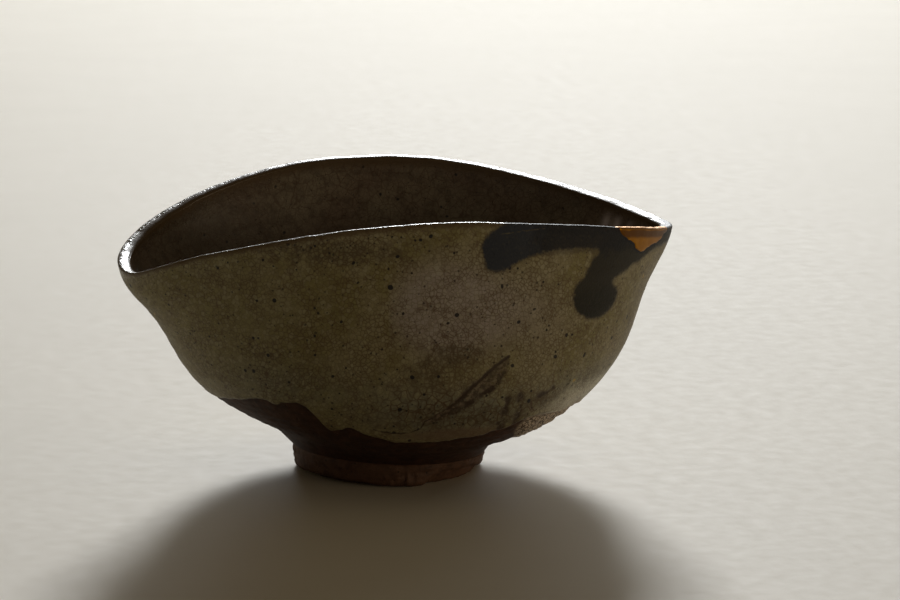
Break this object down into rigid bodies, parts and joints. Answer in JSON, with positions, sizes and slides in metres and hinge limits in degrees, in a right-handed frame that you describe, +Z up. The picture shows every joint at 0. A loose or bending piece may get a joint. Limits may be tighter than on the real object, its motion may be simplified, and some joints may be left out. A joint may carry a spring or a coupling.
{
  "type": "matcha bowl",
  "caption": "Shoe-shaped glazed stoneware tea bowl with brushed iron strokes, a carved foot ring and a gold-mended chip in the lip.",
  "frame": {"origin": "middle of the bowl's overall box in plan, at the height of the surface that the foot stands on", "axes": "+X along the bowl's length towards the higher, pinched tip; -Y towards the decorated face; +Z up"},
  "size_m": [0.1478, 0.105, 0.0758],
  "materials": {
    "stoneware": "bare reddish-brown iron-rich clay, rough, slightly toasted",
    "ash_glaze_outside": "olive-grey wood-ash glaze with fine brown crackle and iron specks, satin gloss",
    "ash_glaze_inside": "darker olive-brown ash glaze with crackle and iron specks, satin gloss",
    "iron_pigment": "dark brown iron oxide brushwork under the glaze",
    "lacquer_putty": "hardened lacquer and clay-powder putty",
    "gold_lacquer": "burnished gold powder on lacquer, worn satin"
  },
  "bodies": {
    "root": {"stoneware_wall": "stoneware", "foot_ring": "stoneware", "glaze_outside": "ash_glaze_outside", "glaze_inside": "ash_glaze_inside", "iron_stroke_long": "iron_pigment", "iron_stroke_hook": "iron_pigment", "kintsugi_filler": "lacquer_putty", "kintsugi_gold": "gold_lacquer"}
  },
  "joints": []
}
